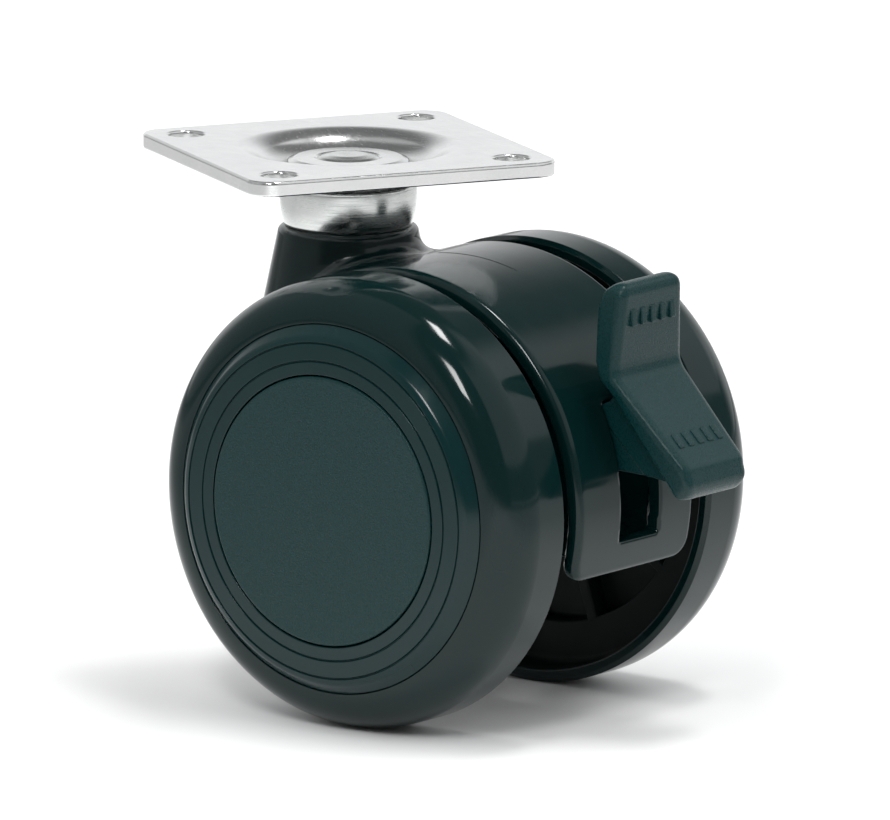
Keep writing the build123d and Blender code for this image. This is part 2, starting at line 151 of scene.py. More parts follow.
def surface_net(field, low, high, step):
    """Points, quads and normals of the surface where a distance field is zero, inside a box."""
    axes = [np.arange(a - 2 * step, b + 2.5 * step, step) for a, b in zip(low, high)]
    grid = np.stack(np.meshgrid(*axes, indexing="ij"), -1)
    value = field(grid.reshape(-1, 3)).reshape(grid.shape[:3])
    cells = tuple(n - 1 for n in value.shape)
    total = np.zeros((np.prod(cells), 3))
    count = np.zeros(np.prod(cells))
    quads = []
    for axis in range(3):
        unit, u, v = (np.eye(3, dtype=int)[(axis + k) % 3] for k in range(3))
        ends = [slice(None)] * 3
        ends[axis] = slice(0, -1)
        ahead = [slice(None)] * 3
        ahead[axis] = slice(1, None)
        edges = np.argwhere((value[tuple(ends)] < 0) != (value[tuple(ahead)] < 0))
        a = value[tuple(edges.T)]
        b = value[tuple((edges + unit).T)]
        points = grid[tuple(edges.T)] + np.outer(a / (a - b) * step, unit)
        keys = [np.ravel_multi_index((edges - i * u - j * v).T, cells)
                for i, j in ((0, 0), (1, 0), (1, 1), (0, 1))]
        for key in keys:
            np.add.at(total, key, points)
            np.add.at(count, key, 1)
        quad = np.stack(keys, 1)
        quad[a >= 0] = quad[a >= 0][:, ::-1]
        quads.append(quad)
    used, quads = np.unique(np.concatenate(quads), return_inverse=True)
    quads = quads.reshape(-1, 4)
    points = settle(field, total[used] / count[used][:, None], step)
    for _ in range(2):
        points = settle(field, relaxed(points, quads), step)
    slope = gradient(field, points)
    return points, quads, slope / np.maximum(np.linalg.norm(slope, axis=1), 1e-9)[:, None]


def relaxed(points, quads):
    """Each point moved half way to the middle of its neighbours."""
    total = np.zeros_like(points)
    count = np.zeros(len(points))
    for i in range(4):
        for near in (quads[:, (i + 1) % 4], quads[:, (i + 3) % 4]):
            np.add.at(total, quads[:, i], points[near])
            np.add.at(count, quads[:, i], 1)
    return 0.5 * points + 0.5 * total / count[:, None]


# ---- Turned shapes ----------------------------------------------------------------------------
def rounded(corners, fine=7):
    """A closed outline from (u, v, radius) corners, each rounded by its own radius."""
    out = []
    count = len(corners)
    for i in range(count):
        here = np.array(corners[i][:2], float)
        radius = corners[i][2]
        back = np.array(corners[i - 1][:2], float) - here
        ahead = np.array(corners[(i + 1) % count][:2], float) - here
        back /= np.linalg.norm(back)
        ahead /= np.linalg.norm(ahead)
        half = 0.5 * math.acos(np.clip(back @ ahead, -1, 1))
        if radius <= 0 or half > 1.55:
            out.append(here)
            continue
        run = radius / math.tan(half)
        centre = here + (back + ahead) / np.linalg.norm(back + ahead) * radius / math.sin(half)
        start, end = here + back * run - centre, here + ahead * run - centre
        angle = math.atan2(start[1], start[0])
        sweep = (math.atan2(end[1], end[0]) - angle + math.pi) % (2 * math.pi) - math.pi
        for k in range(fine + 1):
            a = angle + sweep * k / fine
            out.append(centre + radius * np.array([math.cos(a), math.sin(a)]))
    return np.array(out)


def arc(centre, radii, start, end, count):
    """Points on an ellipse's arc, angles in degrees."""
    a = np.radians(np.linspace(start, end, count))
    return [(centre[0] + radii[0] * math.cos(t), centre[1] + radii[1] * math.sin(t)) for t in a]


def lathe(profile, segments=256):
    """Points, quads and normals of a closed (radius, height) outline turned round the Z axis."""
    profile = np.asarray(profile, float)
    edge = np.roll(profile, -1, 0) - profile
    area = (profile[:, 0] * np.roll(profile[:, 1], -1) - np.roll(profile[:, 0], -1) * profile[:, 1])
    if area.sum() < 0:
        profile = profile[::-1]
        edge = np.roll(profile, -1, 0) - profile
    out = np.stack([edge[:, 1], -edge[:, 0]], 1)
    normal = out + np.roll(out, 1, 0)
    normal /= np.maximum(np.linalg.norm(normal, axis=1), 1e-9)[:, None]
    turn = np.linspace(0, 2 * math.pi, segments, endpoint=False)
    c, s = np.cos(turn)[:, None], np.sin(turn)[:, None]
    points = np.stack([c * profile[:, 0], s * profile[:, 0], np.ones_like(c) * profile[:, 1]], -1)
    normals = np.stack([c * normal[:, 0], s * normal[:, 0], np.ones_like(c) * normal[:, 1]], -1)
    n = len(profile)
    i, j = np.meshgrid(np.arange(segments), np.arange(n), indexing="ij")
    i2, j2 = (i + 1) % segments, (j + 1) % n
    quads = np.stack([i * n + j, i2 * n + j, i2 * n + j2, i * n + j2], -1).reshape(-1, 4)
    keep = ~((profile[quads[:, 0] % n, 0] < 1e-6) & (profile[quads[:, 2] % n, 0] < 1e-6))
    return points.reshape(-1, 3), quads[keep], normals.reshape(-1, 3)


def joined(shapes):
    """Several shapes as one."""
    starts = np.cumsum([0] + [len(points) for points, _, _ in shapes[:-1]])
    quads = [shape[1] + start for shape, start in zip(shapes, starts)]
    return np.concatenate([s[0] for s in shapes]), np.concatenate(quads), \
        np.concatenate([s[2] for s in shapes])


def to_wheel_axis(shape, side):
    """Lays a shape turned round Z along Y instead, with its +Z towards one side."""
    points, quads, normals = shape
    lay = np.array([[1, 0, 0], [0, 0, side], [0, 1, 0]], float)
    if side > 0:
        quads = quads[:, ::-1]
    return points @ lay.T, quads, normals @ lay.T


# ---- Pieces -----------------------------------------------------------------------------------
def piece(name, shape, material, body, nodes=(), origin=(0, 0, 0)):
    """A smooth mesh piece that rides on a body, from points in millimetres."""
    points, quads, normals = shape
    places = (points + np.asarray(origin, float)) * MM
    mesh = bpy.data.meshes.new(name)
    mesh.from_pydata(places.tolist(), [], [tuple(dict.fromkeys(q)) for q in quads.tolist()])
    mesh.validate()
    mesh.update()
    mesh.shade_smooth()
    if len(mesh.vertices) == len(normals):
        mesh.normals_split_custom_set_from_vertices(normals.tolist())
    mesh.materials.append(material)
    ob = bpy.data.objects.new(name, mesh)
    bpy.context.scene.collection.objects.link(ob)
    if nodes:
        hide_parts(*nodes)
    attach(ob, body)
    return ob


# ---- Materials --------------------------------------------------------------------------------
class Finish:
    """A procedural material built round one Principled shader, in object coordinates."""

    def __init__(self, name, **values):
        self.material = bpy.data.materials.new(name)
        self.material.use_nodes = True
        self.tree = self.material.node_tree
        self.shader = self.tree.nodes["Principled BSDF"]
        self.place = self.tree.nodes.new("ShaderNodeTexCoord").outputs["Object"]
        for key, value in values.items():
            self.shader.inputs[key.replace("_", " ")].default_value = value

    def node(self, kind, inputs=None, **settings):
        made = self.tree.nodes.new(kind)
        for key, value in settings.items():
            setattr(made, key, value)
        for key, value in (inputs or {}).items():
            if isinstance(value, bpy.types.NodeSocket):
                self.tree.links.new(value, made.inputs[key])
            else:
                made.inputs[key].default_value = value
        return made

    def noise(self, scale, detail=2.0, rough=0.5, place=None):
        """Noise with about `scale` features to the metre."""
        inputs = {"Vector": place or self.place, "Scale": scale, "Detail": detail, "Roughness": rough}
        return self.node("ShaderNodeTexNoise", inputs).outputs["Fac"]

    def cells(self, scale):
        inputs = {"Vector": self.place, "Scale": scale}
        return self.node("ShaderNodeTexVoronoi", inputs).outputs["Distance"]

    def ramp(self, value, low, high, to_low=0.0, to_high=1.0):
        inputs = {"Value": value, "From Min": low, "From Max": high, "To Min": to_low, "To Max": to_high}
        return self.node("ShaderNodeMapRange", inputs).outputs["Result"]

    def stretched(self, scale):
        """Object coordinates stretched along one axis, for drawn or brushed marks."""
        return self.node("ShaderNodeMapping", {"Vector": self.place, "Scale": scale}).outputs["Vector"]

    def colour(self, value, dark, light):
        """A colour between two, which are (red, green, blue) or another colour's socket."""
        mix = self.tree.nodes.new("ShaderNodeMix")
        mix.data_type = "RGBA"
        self.tree.links.new(value, mix.inputs[0])
        for index, shade in ((6, dark), (7, light)):
            if isinstance(shade, bpy.types.NodeSocket):
                self.tree.links.new(shade, mix.inputs[index])
            else:
                mix.inputs[index].default_value = (*shade, 1)
        return mix.outputs[2]

    def maths(self, operation, *values):
        return self.node("ShaderNodeMath", dict(enumerate(values)), operation=operation).outputs[0]

    def vector_maths(self, operation, value, other, output):
        """One vector operation with a fixed second vector."""
        made = self.node("ShaderNodeVectorMath", {0: value, 1: other}, operation=operation)
        return made.outputs[output]

    def put(self, socket, value):
        self.tree.links.new(value, self.shader.inputs[socket])

    def bump(self, layers):
        """Stacks bumps given as (height, distance in millimetres, strength)."""
        normal = None
        for height, depth, strength in layers:
            inputs = {"Height": height, "Distance": depth * MM, "Strength": strength}
            if normal:
                inputs["Normal"] = normal
            normal = self.node("ShaderNodeBump", inputs).outputs["Normal"]
        self.put("Normal", normal)


def hollow_shade_mask(finish):
    """Mask for painted shade: 1 in the hollow side of a wheel, 0 on its tread, shoulder and face."""
    flat = finish.vector_maths("MULTIPLY", finish.place, (1, 0, 1), "Vector")
    away = finish.vector_maths("DISTANCE", flat, (AXLE[0] * MM, 0, AXLE[2] * MM), "Value")
    near = finish.ramp(away, (RIM_R + 0.2) * MM, (RIM_R + 0.05) * MM)
    height = finish.node("ShaderNodeSeparateXYZ", {0: finish.place}).outputs["Y"]
    behind = finish.ramp(finish.maths("ABSOLUTE", height), 24.6 * MM, 24.4 * MM)
    return finish.maths("MULTIPLY", near, behind)


def gloss_plastic(name, dark, light, rough, hollow=False):
    """Moulded glossy plastic: soft flow waves and a faint haze; where hollow it is duller and darkened
    by painted shade.
    """
    finish = Finish(name, IOR=PLASTIC_IOR)
    tone = finish.colour(finish.noise(90, 3), dark, light)
    haze = finish.ramp(finish.noise(220, 4, 0.6), 0.35, 0.75, rough, rough + 0.08)
    if hollow:
        inside = hollow_shade_mask(finish)
        # Painted shade: the wheel's hollow side is painted near black, standing in for the shade between
        # the wheels.
        tone = finish.colour(inside, tone, (0.0005, 0.005, 0.005))
        haze = finish.maths("MULTIPLY_ADD", inside, 0.5, haze)
    finish.put("Base Color", tone)
    finish.put("Roughness", haze)
    finish.bump([(finish.noise(130, 1), 0.05, 0.5), (finish.noise(1500, 2), 0.004, 0.4)])
    return finish.material


def grained_plastic(name, dark, light, grain, depth, rough):
    """Matt spark-eroded plastic: fine random grain that sparkles a little."""
    finish = Finish(name, IOR=PLASTIC_IOR)
    tone = finish.noise(grain * 0.5, 3, 0.7)
    finish.put("Base Color", finish.colour(finish.ramp(tone, 0.3, 0.75), dark, light))
    finish.put("Roughness", finish.ramp(finish.noise(grain, 2), 0.3, 0.7, rough - 0.12, rough + 0.1))
    finish.bump([(finish.noise(grain, 3, 0.6), depth, 0.9), (finish.noise(140, 2), 0.05, 0.4)])
    return finish.material


def plated_steel(name, dark, light, rough, brush=(60, 60, 60)):
    """Zinc-plated sheet: satin metal with cloudy passivation, roll marks and small scuffs."""
    finish = Finish(name, Metallic=1.0)
    cloud = finish.noise(120, 5, 0.65)
    finish.put("Base Color", finish.colour(finish.ramp(cloud, 0.35, 0.7), dark, light))
    marks = finish.noise(14, 5, 0.6, finish.stretched(brush))
    finish.put("Roughness", finish.ramp(marks, 0.3, 0.7, rough - 0.07, rough + 0.09))
    finish.bump([(marks, 0.003, 0.35), (finish.noise(260, 3), 0.03, 0.35),
                 (finish.noise(2600, 2), 0.002, 0.3)])
    return finish.material


def rubber(name, dark, light):
    finish = Finish(name, IOR=1.5)
    finish.put("Base Color", finish.colour(finish.noise(700, 4), dark, light))
    finish.put("Roughness", finish.ramp(finish.noise(400, 3), 0.3, 0.7, 0.6, 0.8))
    finish.bump([(finish.noise(1800, 3), 0.03, 0.6)])
    return finish.material


def make_materials():
    return {
        "wheel_gloss_black": gloss_plastic("wheel_gloss", (0.001, 0.011, 0.011),
                                           (0.002, 0.0145, 0.0145), 0.08, True),
        "cover_gloss_black": gloss_plastic("cover_gloss", (0.001, 0.016, 0.017),
                                           (0.002, 0.021, 0.022), 0.14),
        "housing_gloss_black": gloss_plastic("housing_gloss", (0.001, 0.011, 0.011),
                                             (0.002, 0.0145, 0.0145), 0.10),
        "cap_textured_black": grained_plastic("cap_grain", (0.001, 0.022, 0.023),
                                              (0.003, 0.031, 0.033), 5200, 0.07, 0.36),
        "pedal_matte_black": grained_plastic("pedal_grain", (0.001, 0.022, 0.023),
                                             (0.003, 0.031, 0.033), 5200, 0.045, 0.32),
        "zinc_plated_steel": plated_steel("zinc_plate", (0.82, 0.83, 0.83), (0.91, 0.91, 0.90), 0.20,
                                          (20, 400, 400)),
        "bright_steel": plated_steel("race_bright", (0.66, 0.68, 0.67), (0.80, 0.82, 0.80), 0.23,
                                     (12, 12, 300)),
        "plain_steel": plated_steel("plain_steel", (0.50, 0.50, 0.51), (0.66, 0.66, 0.67), 0.25),
        "spring_steel": plated_steel("spring_steel", (0.24, 0.26, 0.32), (0.36, 0.38, 0.43), 0.28),
        "blackened_steel": plated_steel("blackened_steel", (0.02, 0.02, 0.022),
                                        (0.035, 0.035, 0.04), 0.45),
        "bearing_plastic": grained_plastic("bearing_plastic", (0.62, 0.60, 0.52),
                                           (0.74, 0.72, 0.64), 3000, 0.01, 0.5),
        "shoe_rubber": rubber("shoe_rubber", (0.012, 0.012, 0.012), (0.03, 0.03, 0.03)),
    }


# ---- Plate and race ---------------------------------------------------------------------------
def plate_field(p):
    """The stamped plate in its own square: rounded corners, a pressed dish and four holes."""
    x, y, z = p[:, 0], p[:, 1], p[:, 2]
    q = np.hypot(x, y)
    corner = PLATE_CORNER_R
    ax, ay = np.abs(x) - PLATE_HALF + corner, np.abs(y) - PLATE_HALF + corner
    square = np.hypot(np.maximum(ax, 0), np.maximum(ay, 0)) + np.minimum(np.maximum(ax, ay), 0)
    square -= corner
    sheet = round_in(square, z, 0.35)
    sheet = round_in(sheet, -z - PLATE_THICK, 0.2)
    under = DISH_DEPTH + PLATE_THICK
    bulge = round_in((q - 12.2 - (z + PLATE_THICK) * 1.25) * 0.62, -z - under, 0.8)
    sheet = np.maximum(round_join(sheet, bulge, 0.8), z)
    dish = round_in((q - DISH_R - z * 1.15) * 0.655, -z - DISH_DEPTH, 1.3)
    sheet = round_in(sheet, -dish, 1.2)
    hx, hy = np.abs(x) - HOLE_HALF, np.abs(y) - HOLE_HALF
    hole = np.hypot(hx, hy)
    sheet = round_in(sheet, HOLE_R - hole, 0.3)
    return np.maximum(sheet, 4.2 - q)


def top_plate(material):
    low = (-PLATE_HALF, -PLATE_HALF, -DISH_DEPTH - PLATE_THICK)
    points, quads, normals = surface_net(plate_field, low, (PLATE_HALF, PLATE_HALF, 0), 0.26)
    turn = np.array(Matrix.Rotation(PLATE_TURN, 3, "Z"))
    return piece("plate_sheet", (points @ turn.T, quads, normals @ turn.T), material,
                 "mount_plate", ["top_plate"])


def kingpin_parts(plate_metal, race_metal):
    """The round collar in the dish and the kingpin, whose head is riveted over it."""
    collar = rounded([(4.1, -1.7, 0.1), (4.5, -1.45, 0.3), (7.2, -1.5, 0.6), (8.2, -1.85, 0.5),
                      (8.2, -2.5, 0.1), (4.1, -2.5, 0.0)])
    piece("rivet_collar", lathe(collar), plate_metal, "mount_plate",
          ["kingpin_collar"])
    pin = rounded([(0, -1.0, 0), (2.4, -1.08, 2.5), (3.6, -1.35, 0.6), (4.2, -1.6, 0.1),
                   (4.1, -1.95, 0.1), (4.0, -2.4, 0.1), (4.0, -4.5, 0.0), (4.8, -4.5, 0.1),
                   (4.8, -5.5, 0.1), (4.0, -5.5, 0.1), (4.0, -30.0, 0), (3.2, -30.0, 0),
                   (3.2, -30.9, 0), (4.0, -30.9, 0), (4.0, -32.0, 0.2), (3.4, -32.6, 0.2),
                   (0, -32.6, 0)])
    piece("riveted_pin", lathe(pin), race_metal, "mount_plate", ["kingpin"])


def race_cup(material):
    """The bright cup: a barrel that tucks in towards its foot, with a floor that stands on the neck."""
    widest, tuck, drop, steps = -5.5, 0.7, 4.95, 12
    barrel = [(9.15 - tuck * (k / steps) ** 2.8, widest - drop * (k / steps), 0)
              for k in range(steps + 1)]
    profile = rounded([(9.1, -5.0, 0.3)] + barrel + [(8.2, -10.5, 0), (5.4, -10.5, 0.1),
                       (5.4, -9.7, 0.1), (7.5, -9.7, 0.6), (8.3, -8.0, 0.8), (8.3, -5.0, 0.3)])
    return piece("race_cup_bright", lathe(profile, 200), material, "fork",
                 ["race_cup"])


# ---- Housing ----------------------------------------------------------------------------------
def band_ends(x, z):
    """Inside the hood's arc, from its rear lower edge over the top to its front lower edge."""
    past_rear = -x * math.sin(HOOD_REAR) + z * math.cos(HOOD_REAR)
    past_front = -x * math.sin(HOOD_FRONT) + z * math.cos(HOOD_FRONT)
    return -past_rear, past_front


def neck_field(x, y, z):
    """The flared neck, which runs down the front of the hood."""
    q = np.hypot(x + TRAIL, y)
    depth = AXLE_DROP - z
    radius = np.minimum(NECK_TOP_R + NECK_FLARE * (depth - NECK_TOP), HOOD_HALF)
    column = round_in((q - radius) * 0.98, z - (AXLE_DROP - NECK_TOP), 0.8)
    front = -29.9 - 0.9 * np.clip((z - 2) / 9, 0, 1) + 1.6 * np.clip((z - 14) / 9, 0, 1)
    column = round_in(column, front - x, 2.0)
    return round_in(column, 2.0 - z, 1.0)


def housing_field(p):
    """Hood, neck, webs, axle boss and kingpin socket, in millimetres from the axle."""
    x, y, z = p[:, 0], p[:, 1], p[:, 2]
    rho = np.hypot(x, z)
    q = np.hypot(x + TRAIL, y)
    off_rear, off_front = band_ends(x, z)
    side = np.abs(y) - HOOD_HALF
    rear = round_in(side, off_rear, 3.0)
    front = round_in(side, off_front, 2.0)
    skin = round_in(rho - HOOD_R, np.minimum(rear, front), 1.1)
    outer = round_join(skin, neck_field(x, y, z), 2.3)
    bore = rho - (HOOD_R - HOOD_WALL)
    flare = np.minimum(NECK_TOP_R + NECK_FLARE * (AXLE_DROP - z - NECK_TOP), HOOD_HALF)
    core = np.maximum(q - flare + 2.4, z - (AXLE_DROP - NECK_TOP - 13))
    core = np.maximum(core, -27.6 - x)
    shell = round_in(outer, -np.minimum(bore, core), 0.5)
    webs = np.minimum(np.abs(y - BRAKE_Y + 6.1), np.abs(y - BRAKE_Y - 6.1)) - 1.1
    webs = np.maximum(np.maximum(webs, rho - HOOD_R + 1.5), -7.0 - z)
    socket = np.maximum(np.maximum(q - 7.6, z - 30), 8.6 - z)
    boss = np.maximum(rho - 6.5, np.abs(y) - 12.2)
    body = np.minimum(shell, round_join(round_join(webs, socket, 0.6), boss, 0.8))
    along = x * math.cos(BAR_ANGLE) + z * math.sin(BAR_ANGLE)
    across = z * math.cos(BAR_ANGLE) - x * math.sin(BAR_ANGLE)
    window = np.maximum(np.maximum(np.abs(across) - 3.65, 23.85 - along), along - 27.6)
    slot_low = -x * math.sin(SLOT_LOW) + z * math.cos(SLOT_LOW)
    slot_high = -x * math.sin(SLOT_HIGH) + z * math.cos(SLOT_HIGH)
    slot = round_in(np.abs(y - BRAKE_Y) - SLOT_HALF, np.maximum(-slot_low, slot_high), 0.5)
    slot = np.maximum(slot, 24 - x)
    body = round_in(body, -slot, 0.35)
    body = np.maximum(body, -window)
    body = np.maximum(body, 5.2 - q)
    pin = np.hypot(x - PIVOT[0], z - PIVOT[2])
    return np.maximum(np.maximum(body, 3.0 - rho), 1.5 - pin)


def housing(material):
    top = AXLE_DROP - NECK_TOP
    shape = surface_net(housing_field, (-32, -HOOD_HALF, -10), (HOOD_R, HOOD_HALF, top), 0.42)
    return piece("hood_and_neck", shape, material, "fork", ["housing"], AXLE)


def parting_line(material):
    """The faint ridge that the two halves of the mould leave over the top of the hood."""
    section = [(-0.22, -0.10), (-0.12, 0.02), (0.0, 0.05), (0.12, 0.02), (0.22, -0.10)]
    turns = [math.radians(a) for a in np.linspace(97, 73, 25)]
    points = []
    for k, turn in enumerate(turns):
        drift = 0.9 + 0.7 * k / (len(turns) - 1)
        for across, high in section:
            radius = HOOD_R + high
            points.append((radius * math.cos(turn), drift + across, radius * math.sin(turn)))
    n = len(section)
    quads = [(k * n + i, k * n + (i + 1) % n, (k + 1) * n + (i + 1) % n, (k + 1) * n + i)
             for k in range(len(turns) - 1) for i in range(n)]
    ends = [(0, 3, 2, 1), (0, 4, 3, 3)]
    last = (len(turns) - 1) * n
    ends += [(last, last + 1, last + 2, last + 3), (last, last + 3, last + 4, last + 4)]
    shape = np.array(points), np.array(quads + ends), np.zeros((0, 3))
    return piece("hood_parting_line", shape, material, "fork", (), AXLE)


# ---- Pedal ------------------------------------------------------------------------------------
def pedal_field(p):
    """The two-ended rocker, its web and its cam hub, in millimetres from the axle.

    The pads' outer edges are well rounded and their back edges are nearly sharp.
    """
    x, y, z = p[:, 0], p[:, 1] - BRAKE_Y, p[:, 2]
    soft = 0.6
    outline = [(28.5, 27.0, 0), (29.2, 29.0, 0.8), (30.1, 29.8, 0.6), (31.0, 29.6, 0.8),
               (31.25, 28.6, 0), (30.4, 17.9, 3.4), (41.5, 6.6, 1.6), (42.0, 3.8, 1.4),
               (40.9, 2.9, 0.6), (36.2, 9.2, 0), (31.8, 15.1, 2.0), (29.3, 17.8, 2.0),
               (28.5, 20.0, 0), (28.4, 24.0, 0)]
    plate = polygon(rounded(outline, 5), x, z) - soft
    half = 7.9 - 1.0 * np.clip(np.abs(z - 17.5) / 11, 0, 1.2)
    width = (np.abs(y) - half) * 0.98
    outer = np.minimum(x - 31.6, (x + z - 48.9) * math.sqrt(0.5))
    edge = 0.35 + 1.2 * np.clip((outer + 2.4) / 1.6, 0, 1)
    pad = round_in(plate, width, edge)
    pad = round_in(pad, round_in(width, z - 30.4, 2.2), 0.5)
    down = (x - z) * math.sqrt(0.5)
    pad = round_in(pad, round_in(width, down - 27.9, 2.4), 0.5)
    web_line = [(30.2, 17.0), (27.4, 13.9), (24.4, 12.65), (15.4, 12.9), (13.0, 12.2), (19.5, 6.6),
                (24.0, 4.9), (29.7, 4.7), (34.4, 4.5), (38.2, 3.9), (39.6, 4.6), (31.4, 16.0)]
    thick = ARM_HALF - 0.16 + 0.16 * np.clip((x + z - 37.95) / 0.3 + 0.5, 0, 1)
    web = round_in(polygon(web_line, x, z), (np.abs(y) - thick) * 0.7, 0.35)
    body = round_join(pad, web, 0.8)
    hub = np.hypot(x - PIVOT[0], z - PIVOT[2])
    cam_x = PIVOT[0] - 2.95 * math.sin(BAR_ANGLE)
    cam_z = PIVOT[2] + 2.95 * math.cos(BAR_ANGLE)
    cam = np.minimum(hub - 3.2, np.hypot(x - cam_x, z - cam_z) - 3.4)
    body = np.minimum(body, np.maximum(cam, np.abs(y) - ARM_HALF))
    return np.maximum(body, 1.54 - hub)


def pedal(material):
    low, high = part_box("brake_lever")
    low = np.array(low) / MM - AXLE - 0.8
    high = np.array(high) / MM - AXLE + 0.8
    shape = surface_net(pedal_field, low, high, 0.28)
    return piece("rocker_pedal", shape, material, "pedal", ["brake_lever"], AXLE)


def grip_ribs(material):
    """Small raised ribs in a row across each pad, for the sole of a shoe."""
    soft = 0.16

    def rib(p):
        inside = np.abs(p) - np.array([0.34, 0.55, 1.15]) + soft
        return np.linalg.norm(np.maximum(inside, 0), axis=1) + np.minimum(inside.max(1), 0) - soft

    points, quads, normals = surface_net(rib, (-0.34, -0.55, -1.15), (0.34, 0.55, 1.15), 0.13)
    for name, angle, spot in (("upper", 4.5, (31.6, 25.6)), ("lower", 45, (38.9, 9.9))):
        turn = np.array(Matrix.Rotation(-math.radians(angle), 3, "Y"))
        shapes = []
        for k in range(5):
            place = np.array([spot[0], BRAKE_Y + (k - 2) * 2.1, spot[1]])
            shapes.append((points @ turn.T + place, quads, normals @ turn.T))
        piece("grip_ribs_" + name, joined(shapes), material, "pedal", (), AXLE)


# ---- Wheels -----------------------------------------------------------------------------------
def wheel_outline():
    """Bore, outer face, seat of the trim, shoulder, tread, rim, pocketed disc and hub."""
    shoulder = arc((SHOULDER_R, TREAD_OUT), (WHEEL_R - SHOULDER_R, SHOULDER_Y - TREAD_OUT), 88, 2, 40)
    outer = [(4.2, 25.4, 0), (SHOULDER_R, 25.4, 0), (SHOULDER_R, SHOULDER_Y, 0.12)]
    outer += [(r, w, 0) for r, w in shoulder]
    inner = [(WHEEL_R, TREAD_IN + 0.5, 0.15), (WHEEL_R - 0.6, TREAD_IN, 0.3), (RIM_R, TREAD_IN, 0.35),
             (RIM_R, 20.5, 1.0), (22.5, 20.5, 0.35), (22.3, 23.2, 0.5),
             (6.9, 23.2, 0.5), (6.6, 13.0, 0.3), (4.2, 13.0, 0.2)]
    return rounded(outer + inner, 6)


def spokes():
    """Ten ribs across the pockets, from hub to rim."""
    section = rounded([(-0.95, 23.4, 0), (-0.8, 20.5, 0.35), (0.8, 20.5, 0.35), (0.95, 23.4, 0)])
    edge = np.roll(section, -1, 0) - np.roll(section, 1, 0)
    out = np.stack([edge[:, 1], -edge[:, 0]], 1) / np.linalg.norm(edge, axis=1)[:, None]
    if (section[:, 0] * out[:, 0]).sum() < 0:
        section, out = section[::-1], -out[::-1]
    count = len(section)
    shapes = []
    for k in range(10):
        c, s = math.cos(k * math.pi / 5), math.sin(k * math.pi / 5)
        rows = [np.stack([r * c - section[:, 0] * s, r * s + section[:, 0] * c, section[:, 1]], 1)
                for r in (6.2, 22.9)]
        normal = np.stack([-out[:, 0] * s, out[:, 0] * c, out[:, 1]], 1)
        quads = [(i, (i + 1) % count, (i + 1) % count + count, i + count) for i in range(count)]
        shapes.append((np.concatenate(rows), np.array(quads), np.concatenate([normal, normal])))
    return joined(shapes)


def wheels(materials):
    body = lathe(wheel_outline(), 320)
    ribs = spokes()
    cover = lathe(cover_outline(), 320)
    cap = lathe(cap_outline(), 320)
    for side, name in ((1, "left"), (-1, "right")):
        on = name + "_wheel"
        gloss = materials["wheel_gloss_black"]
        piece("wheel_body_" + name, to_wheel_axis(body, side), gloss, on,
              ["wheel_" + name], AXLE)
        piece("wheel_spokes_" + name, to_wheel_axis(ribs, side), gloss, on,
              (), AXLE)
        piece("face_ring_" + name, to_wheel_axis(cover, side), materials["cover_gloss_black"], on,
              ["wheel_cover_" + name], AXLE)
        piece("cap_disc_" + name, to_wheel_axis(cap, side), materials["cap_textured_black"], on,
              ["hub_cap_" + name], AXLE)


def cover_outline():
    """The trim between shoulder and cap: a bead, two fine grooves and a flat."""
    groove = 0.16
    corners = [(24.5, 25.4, 0), (24.5, 27.18, 0.1), (24.1, 27.62, 0.9), (23.2, 28.6, 1.6)]
    for radius, face in ((22.3, 28.92), (19.9, 29.06)):
        corners += [(radius + groove, face - 0.02, 0.08), (radius, face - 0.3, 0.05),
                    (radius - groove, face, 0.08)]
    corners += [(18.1, 29.12, 0.15), (18.1, 27.6, 0), (22.5, 27.4, 0), (22.9, 26.6, 0), (22.9, 25.4, 0)]
    return rounded(corners, 5)


def cap_outline():
    """The cap's disc, with a ring behind it that stands on the wheel."""
    return rounded([(0, 27.7, 0), (0, CAP_FACE, 0), (CAP_R, CAP_FACE, 0.35), (CAP_R, 27.7, 0),
                    (16.7, 27.7, 0), (16.7, 25.4, 0), (15.5, 25.4, 0), (15.5, 27.7, 0)], 6)


# ---- Stage ------------------------------------------------------------------------------------
def aim(ob, place, target):
    ob.location = place
    ob.rotation_euler = (Vector(target) - Vector(place)).to_track_quat("-Z", "Y").to_euler()
    bpy.context.scene.collection.objects.link(ob)


def towards(azimuth, elevation):
    """Unit vector from the object to a viewer at that azimuth and elevation, in degrees."""
    a, e = math.radians(azimuth), math.radians(elevation)
    return Vector((math.sin(a) * math.cos(e), -math.cos(a) * math.cos(e), math.sin(e)))


def camera():
    """A long lens, a little above the axle."""
    back = towards(CAMERA_SIDE, CAMERA_RISE)
    distance = 2.68
    right = Vector((math.cos(math.radians(CAMERA_SIDE)), math.sin(math.radians(CAMERA_SIDE)), 0))
    up = back.cross(right)
    target = Vector(AXLE * MM) - right * 1.51 * MM + up * 8.92 * MM
    data = bpy.data.cameras.new("camera")
    data.lens = 820.3
    data.sensor_width = 36
    data.clip_end = 50
    ob = bpy.data.objects.new("camera", data)
    aim(ob, target + back * distance, target)
    bpy.context.scene.camera = ob


def softbox(name, azimuth, elevation, distance, size, power):
    """A flat lamp that faces the axle, with sizes in metres and power in watts."""
    data = bpy.data.lights.new(name, "AREA")
    data.shape = "RECTANGLE"
    data.size, data.size_y = size
    data.energy = power
    ob = bpy.data.objects.new(name, data)
    target = Vector(AXLE * MM)
    aim(ob, target + towards(azimuth, elevation) * distance, target)
    return ob


